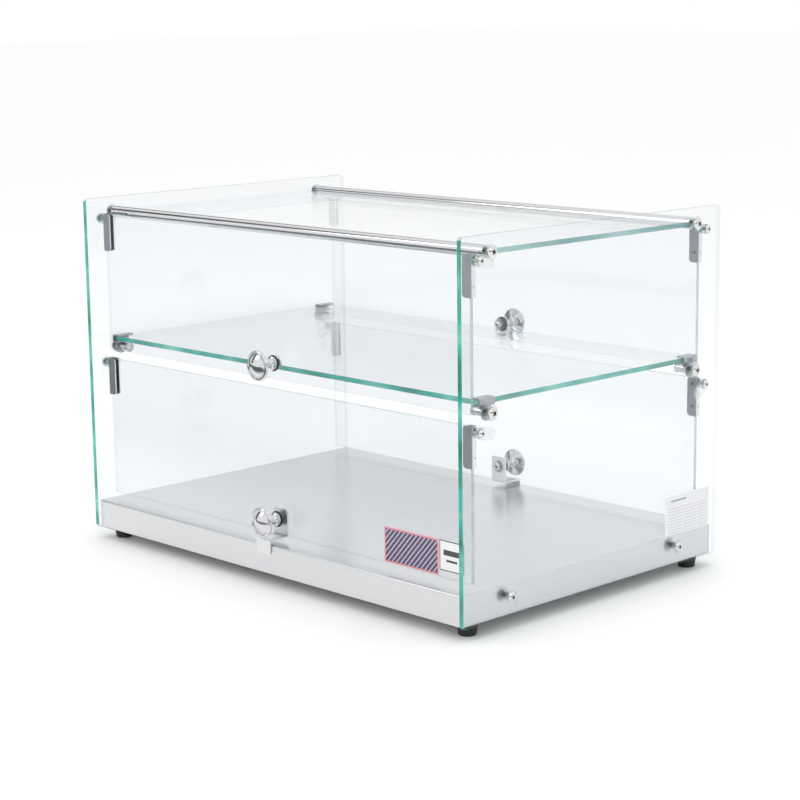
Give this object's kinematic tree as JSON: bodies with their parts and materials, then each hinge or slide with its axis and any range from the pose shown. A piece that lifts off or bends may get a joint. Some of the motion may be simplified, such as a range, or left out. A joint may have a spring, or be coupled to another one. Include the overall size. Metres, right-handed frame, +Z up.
{
  "type": "countertop food display case",
  "caption": "Two-tier glass countertop food display case on a folded stainless base, with a glass shelf and top-hung glass flaps with chrome knobs at front and rear.",
  "frame": {"origin": "centre of the footprint, on the surface that the feet stand on", "axes": "+X to the right seen from the front, +Y towards the rear, +Z up"},
  "size_m": [0.5586, 0.375, 0.365],
  "materials": {
    "stainless": "brushed stainless sheet",
    "chrome": "polished plating",
    "zinc": "bright zinc plating",
    "glass": "clear tempered float glass with ground edges",
    "clear_plastic": "clear moulded plastic",
    "rubber": "matt black rubber",
    "label_white": "printed white film",
    "label_red": "printed film"
  },
  "bodies": {
    "case": {"base_deck": "stainless", "base_long_walls": "stainless", "base_end_walls": "stainless", "base_long_flanges": "stainless", "base_end_flanges": "stainless", "base_weld_nuts": "zinc", "front_feet": "rubber", "rear_feet": "rubber", "foot_screws": "zinc", "left_side_glass": "glass", "right_side_glass": "glass", "roof_glass": "glass", "shelf_glass": "glass", "front_rod": "chrome", "rear_rod": "chrome", "side_screws": "zinc", "side_washers": "clear_plastic", "front_left_shelf_clip": "stainless", "front_right_shelf_clip": "stainless", "rear_left_shelf_clip": "stainless", "rear_right_shelf_clip": "stainless", "shelf_sleeve_nuts": "chrome", "pivot_bushings": "clear_plastic", "rating_label": "label_white"},
    "front_upper_flap": {"front_upper_glass": "glass", "front_upper_left_clip": "stainless", "front_upper_right_clip": "stainless", "front_upper_pivot_screws": "zinc", "front_upper_clamp_screws": "zinc", "front_upper_knob": "chrome", "front_upper_knob_washers": "rubber", "front_upper_knob_screw": "zinc"},
    "front_lower_flap": {"front_lower_glass": "glass", "front_lower_left_clip": "stainless", "front_lower_right_clip": "stainless", "front_lower_pivot_screws": "zinc", "front_lower_clamp_screws": "zinc", "front_lower_knob": "chrome", "front_lower_knob_washers": "rubber", "front_lower_knob_screw": "zinc", "front_lower_bracket": "stainless", "front_labels": "label_red"},
    "rear_upper_flap": {"rear_upper_glass": "glass", "rear_upper_left_clip": "stainless", "rear_upper_right_clip": "stainless", "rear_upper_pivot_screws": "zinc", "rear_upper_clamp_screws": "zinc", "rear_upper_knob": "chrome", "rear_upper_knob_washers": "rubber", "rear_upper_knob_screw": "zinc"},
    "rear_lower_flap": {"rear_lower_glass": "glass", "rear_lower_left_clip": "stainless", "rear_lower_right_clip": "stainless", "rear_lower_pivot_screws": "zinc", "rear_lower_clamp_screws": "zinc", "rear_lower_knob": "chrome", "rear_lower_knob_washers": "rubber", "rear_lower_knob_screw": "zinc", "rear_lower_bracket": "stainless"}
  },
  "joints": [
    {"name": "front_upper_hinge", "type": "hinge", "parent": "case", "child": "front_upper_flap", "pos_m": [0, -0.16, 0.3425], "axis": [-1, 0, 0], "range_deg": [0, 210]},
    {"name": "front_lower_hinge", "type": "hinge", "parent": "case", "child": "front_lower_flap", "pos_m": [0, -0.16, 0.189], "axis": [-1, 0, 0], "range_deg": [0, 116]},
    {"name": "rear_upper_hinge", "type": "hinge", "parent": "case", "child": "rear_upper_flap", "pos_m": [0, 0.16, 0.3425], "axis": [1, 0, 0], "range_deg": [0, 210]},
    {"name": "rear_lower_hinge", "type": "hinge", "parent": "case", "child": "rear_lower_flap", "pos_m": [0, 0.16, 0.189], "axis": [1, 0, 0], "range_deg": [0, 116]}
  ]
}
